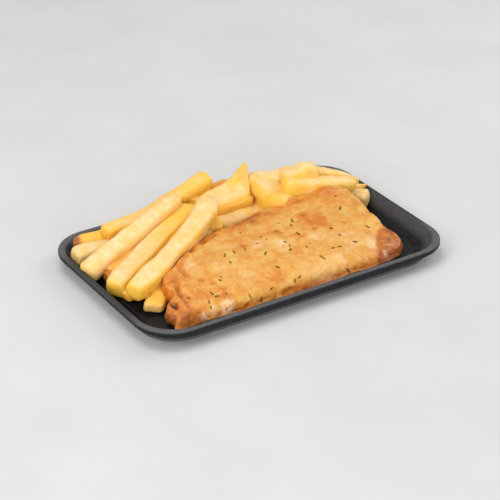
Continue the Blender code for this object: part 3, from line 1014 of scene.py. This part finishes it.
@dataclass
class ChipHeap:
    """The heap of chips, joined layer by layer, over a smaller core."""

    cad: Piece
    chips: tuple[Chip, ...] = CHIPS
    seed: int = 27
    dents: Lumps = Lumps("chip_dents", 13 * MM, 2.5 * MM)
    grain: Lumps = Lumps("chip_grain", 3.5 * MM, 0.5 * MM)
    core_grid: float = 2.2 * MM
    core_smoothing: int = 4
    core_gap: float = 3.0 * MM  # how far the core keeps under the heap's outline

    def build(self) -> list[Piece]:
        """Models the core and the three layers of chips.

        Returns:
            The core first, and then the layers.
        """
        made = [self.core()]
        luck = random.Random(self.seed)
        for layer in Layer:
            piece = join([chip.build(luck) for chip in self.chips if chip.layer is layer], layer.value)
            self.dents.push_out(piece)
            self.grain.push_out(piece)
            made.append(piece)
        finish = PotatoFinish().material()
        for piece in made:
            dress(piece, finish)
        return made

    def core(self) -> Piece:
        """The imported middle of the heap, shrunk from its solid."""
        piece = fine_copy(self.cad, "chips_core", self.core_grid, self.core_smoothing)
        add_modifier(piece, "DISPLACE", strength=-self.core_gap, mid_level=0.0)
        # painted shade: the core is coloured like chips in shadow, as it shows only in the gaps
        paint(piece, "golden", 0.8)
        paint(piece, "browned", 0.2)
        return piece


# ---- herbs


@dataclass(frozen=True)
class Fleck:
    """One sliver of herb on the batter, in millimetres."""

    x: float
    y: float
    length: float
    turn: float
    narrow: float = 1.0  # its width as a share of the others'


@dataclass
class Herbs:
    """Slivers of herb: the larger ones by place, and smaller ones scattered."""

    fish: Piece
    rows: Rows = (  # the values of a Fleck each
        (65, -9, 5.5, 46), (28, -7, 4.6, 67), (24, -12, 3, 82), (22, -23, 3.4, -62), (45, -27, 2.4, -16),
        (69, -34, 3.4, -46), (52, -44, 3.2, -20), (46, -35, 2.2, -20), (23, -49, 4.4, -70),
        (35, -44, 2.6, -24), (39, -45, 3.4, -12), (9, -27, 2.6, -68), (10, -31, 2.6, 72), (8, -35, 3, 25),
        (19, -37, 2, -80), (-9, -32, 4, 37), (-18, -22, 3.2, 57), (-26, -22, 3.4, 81),
        (-33, -22, 4, 48), (-34, -30, 2.2, -68), (-9, -46, 2.8, -45), (0, -57, 3.8, 27), (-4, -58, 2.8, 42),
        (-22, -58.5, 3.2, 16, 0.6), (-31, -61, 1.6, 40, 0.8), (-38, -59, 2.6, -84), (-60, -50, 3.4, -80),
        (-58, -53, 3.6, -1), (-65, -55, 3, 73), (-66, -58.5, 2.4, 69), (-75, -47, 2.4, -56),
        (-49, -42, 1.8, -60), (35, -61, 3, -43),
    )
    seed: int = 11
    small: int = 9  # how many are scattered
    margins: tuple[float, float] = (18, 14)  # which those keep clear at the left and right end
    front_back: tuple[float, float] = (-54, 6)  # and where they lie from front to back
    lengths: tuple[float, float] = (0.8, 1.5)
    width: float = 1.05  # of each sliver, in millimetres
    thickness: float = 0.30 * MM
    lift: float = 0.05 * MM  # off the batter
    above: float = 60  # how high each starts before it is laid down on the fish

    def build(self) -> Piece:
        """Models the slivers and lays them on the fish.

        Returns:
            All of them as one piece.
        """
        luck = random.Random(self.seed)
        low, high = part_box("fish")
        left, right = self.margins
        ends = (low.x / MM + left, high.x / MM - right)
        ranges = (ends, self.front_back, self.lengths, (-90, 90))
        scattered = tuple(tuple(luck.uniform(*pair) for pair in ranges) for _ in range(self.small))
        flecks = [Fleck(*row) for row in self.rows + scattered]
        piece = join([self.sliver(fleck, luck) for fleck in flecks if self.on_fish(fleck)], "herb_flecks")
        add_modifier(
            piece, "SHRINKWRAP", target=self.fish, wrap_method="PROJECT", use_project_z=True,
            use_negative_direction=True, use_positive_direction=False, offset=self.lift,
        )
        add_modifier(piece, "SOLIDIFY", thickness=self.thickness, offset=1.0)
        dress(piece, HerbFinish().material())
        return piece

    def on_fish(self, fleck: Fleck) -> bool:
        """Whether the fish lies under the fleck and just round it."""
        around = [(fleck.x + side, fleck.y + deep, self.above) for side in (-1, 1) for deep in (-1, 1)]
        return all(self.fish.ray_cast(Vector(spot) * MM, Vector((0, 0, -1)))[0] for spot in around)

    def sliver(self, fleck: Fleck, luck: random.Random) -> Piece:
        """One flat sliver, tapered to its ends, above its place.

        Args:
            fleck: where it lies and its size.
            luck: where its small uneven changes come from.

        Returns:
            The sliver.
        """
        width = self.width * fleck.narrow * luck.uniform(0.75, 1.2)
        scale = (fleck.length * MM, width * MM, 1)
        piece = start_from(bpy.ops.mesh.primitive_plane_add, "sliver", 1, scale)
        bpy.ops.mesh.select_all(action="SELECT")
        bpy.ops.mesh.subdivide(number_cuts=5)
        half = fleck.length * MM / 2
        for sign in (-1, 1):
            choose(piece, Pick.VERTS, lambda vert: sign * vert.co.x > 0.9 * half)
            bpy.ops.transform.resize(value=(1, 0.25, 1), center_override=(sign * half, 0, 0))
            choose(piece, Pick.VERTS, lambda vert: 0.5 * half < sign * vert.co.x < 0.9 * half)
            bpy.ops.transform.resize(value=(1, 0.8, 1), center_override=(0, 0, 0))
            bpy.ops.transform.translate(value=(0, luck.uniform(-0.25, 0.25) * MM, 0))
        bpy.ops.object.mode_set(mode="OBJECT")
        piece.location = Vector((fleck.x, fleck.y, self.above)) * MM
        piece.rotation_euler = (0, 0, math.radians(fleck.turn))
        bpy.ops.object.transform_apply(location=True, rotation=True)
        return piece


# ---- studio


@dataclass(frozen=True)
class Lamp:
    """A soft square light that looks at the middle of the food."""

    name: str
    place: Spot
    size: float
    power: float
    colour: Colour = (1.0, 1.0, 1.0)


@dataclass
class Studio:
    """A pale floor, soft lights and the camera."""

    middle: Spot = (0.0057, 0.009, 0.0)
    azimuth: float = -32.7
    elevation: float = 29.2
    distance: float = 1.1724
    lens: float = 128.2
    sensor: float = 36.0
    sky: float = 0.50
    floor_size: float = 8.0
    lamps: tuple[Lamp, ...] = (
        Lamp("key", (-0.95, -0.15, 0.75), 0.55, 4.6, (1.0, 0.98, 0.95)),
        Lamp("overhead", (-0.1, 0.25, 1.1), 0.7, 4.6),
        Lamp("fill", (-0.6, -1.1, 0.32), 0.8, 9.5),
        Lamp("right", (1.0, 0.0, 0.6), 0.7, 4.6),
    )

    def build(self) -> None:
        """Sets up the floor, the sky, the lights and the camera."""
        clear_choice()
        bpy.ops.mesh.primitive_plane_add(size=self.floor_size, location=(0, 0, 0))
        floor = bpy.context.object
        floor.name = "floor"
        floor.data.materials.append(TableFinish().material())
        scene = bpy.context.scene
        scene.world = bpy.data.worlds.new("soft_sky")
        scene.world.use_nodes = True
        sky = scene.world.node_tree.nodes["Background"]
        sky.inputs["Color"].default_value = (1.0, 1.0, 1.0, 1.0)
        sky.inputs["Strength"].default_value = self.sky
        aim = Vector(self.middle)
        for lamp in self.lamps:
            light = bpy.data.lights.new(lamp.name, "AREA")
            light.size, light.energy, light.color = lamp.size, lamp.power, lamp.colour
            self.hang(lamp.name, light, Vector(lamp.place), aim)
        turn, tilt = math.radians(self.azimuth), math.radians(self.elevation)
        back = Vector((math.sin(turn) * math.cos(tilt), -math.cos(turn) * math.cos(tilt), math.sin(tilt)))
        camera = bpy.data.cameras.new("camera")
        camera.lens, camera.sensor_width = self.lens, self.sensor
        scene.camera = self.hang("camera", camera, aim + back * self.distance, aim)
        scene.view_settings.view_transform = "Standard"

    @staticmethod
    def hang(name: str, data: bpy.types.ID, spot: Vector, aim: Vector) -> Piece:
        """Puts a light or a camera with those settings at a spot, looking at its aim."""
        holder = bpy.data.objects.new(name, data)
        bpy.context.scene.collection.objects.link(holder)
        holder.location = spot
        holder.rotation_euler = (spot - aim).to_track_quat("Z", "Y").to_euler()
        return holder


def place(piece: Piece, slot: str, *nodes: str) -> None:
    """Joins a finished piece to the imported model, in place of nodes, and reports it."""
    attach(piece, "root")
    if nodes:
        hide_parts(*nodes)
    triangles = sum(len(face.vertices) - 2 for face in piece.data.polygons)
    LOG.info("%s: %d triangles", piece.name, triangles)


def main() -> None:
    """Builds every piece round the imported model."""
    logging.basicConfig(level=logging.INFO, format="%(message)s")
    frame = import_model()
    place(Tray(*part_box("tray")).build(), "foam", "tray")
    fish = Fillet(frame["nodes"]["fish"]).build()
    place(fish, "batter", "fish")
    for piece in ChipHeap(frame["nodes"]["chips"]).build():
        place(piece, "potato", "chips")
    place(Herbs(fish).build(), "batter")
    Studio().build()


if __name__ == "__main__":
    main()
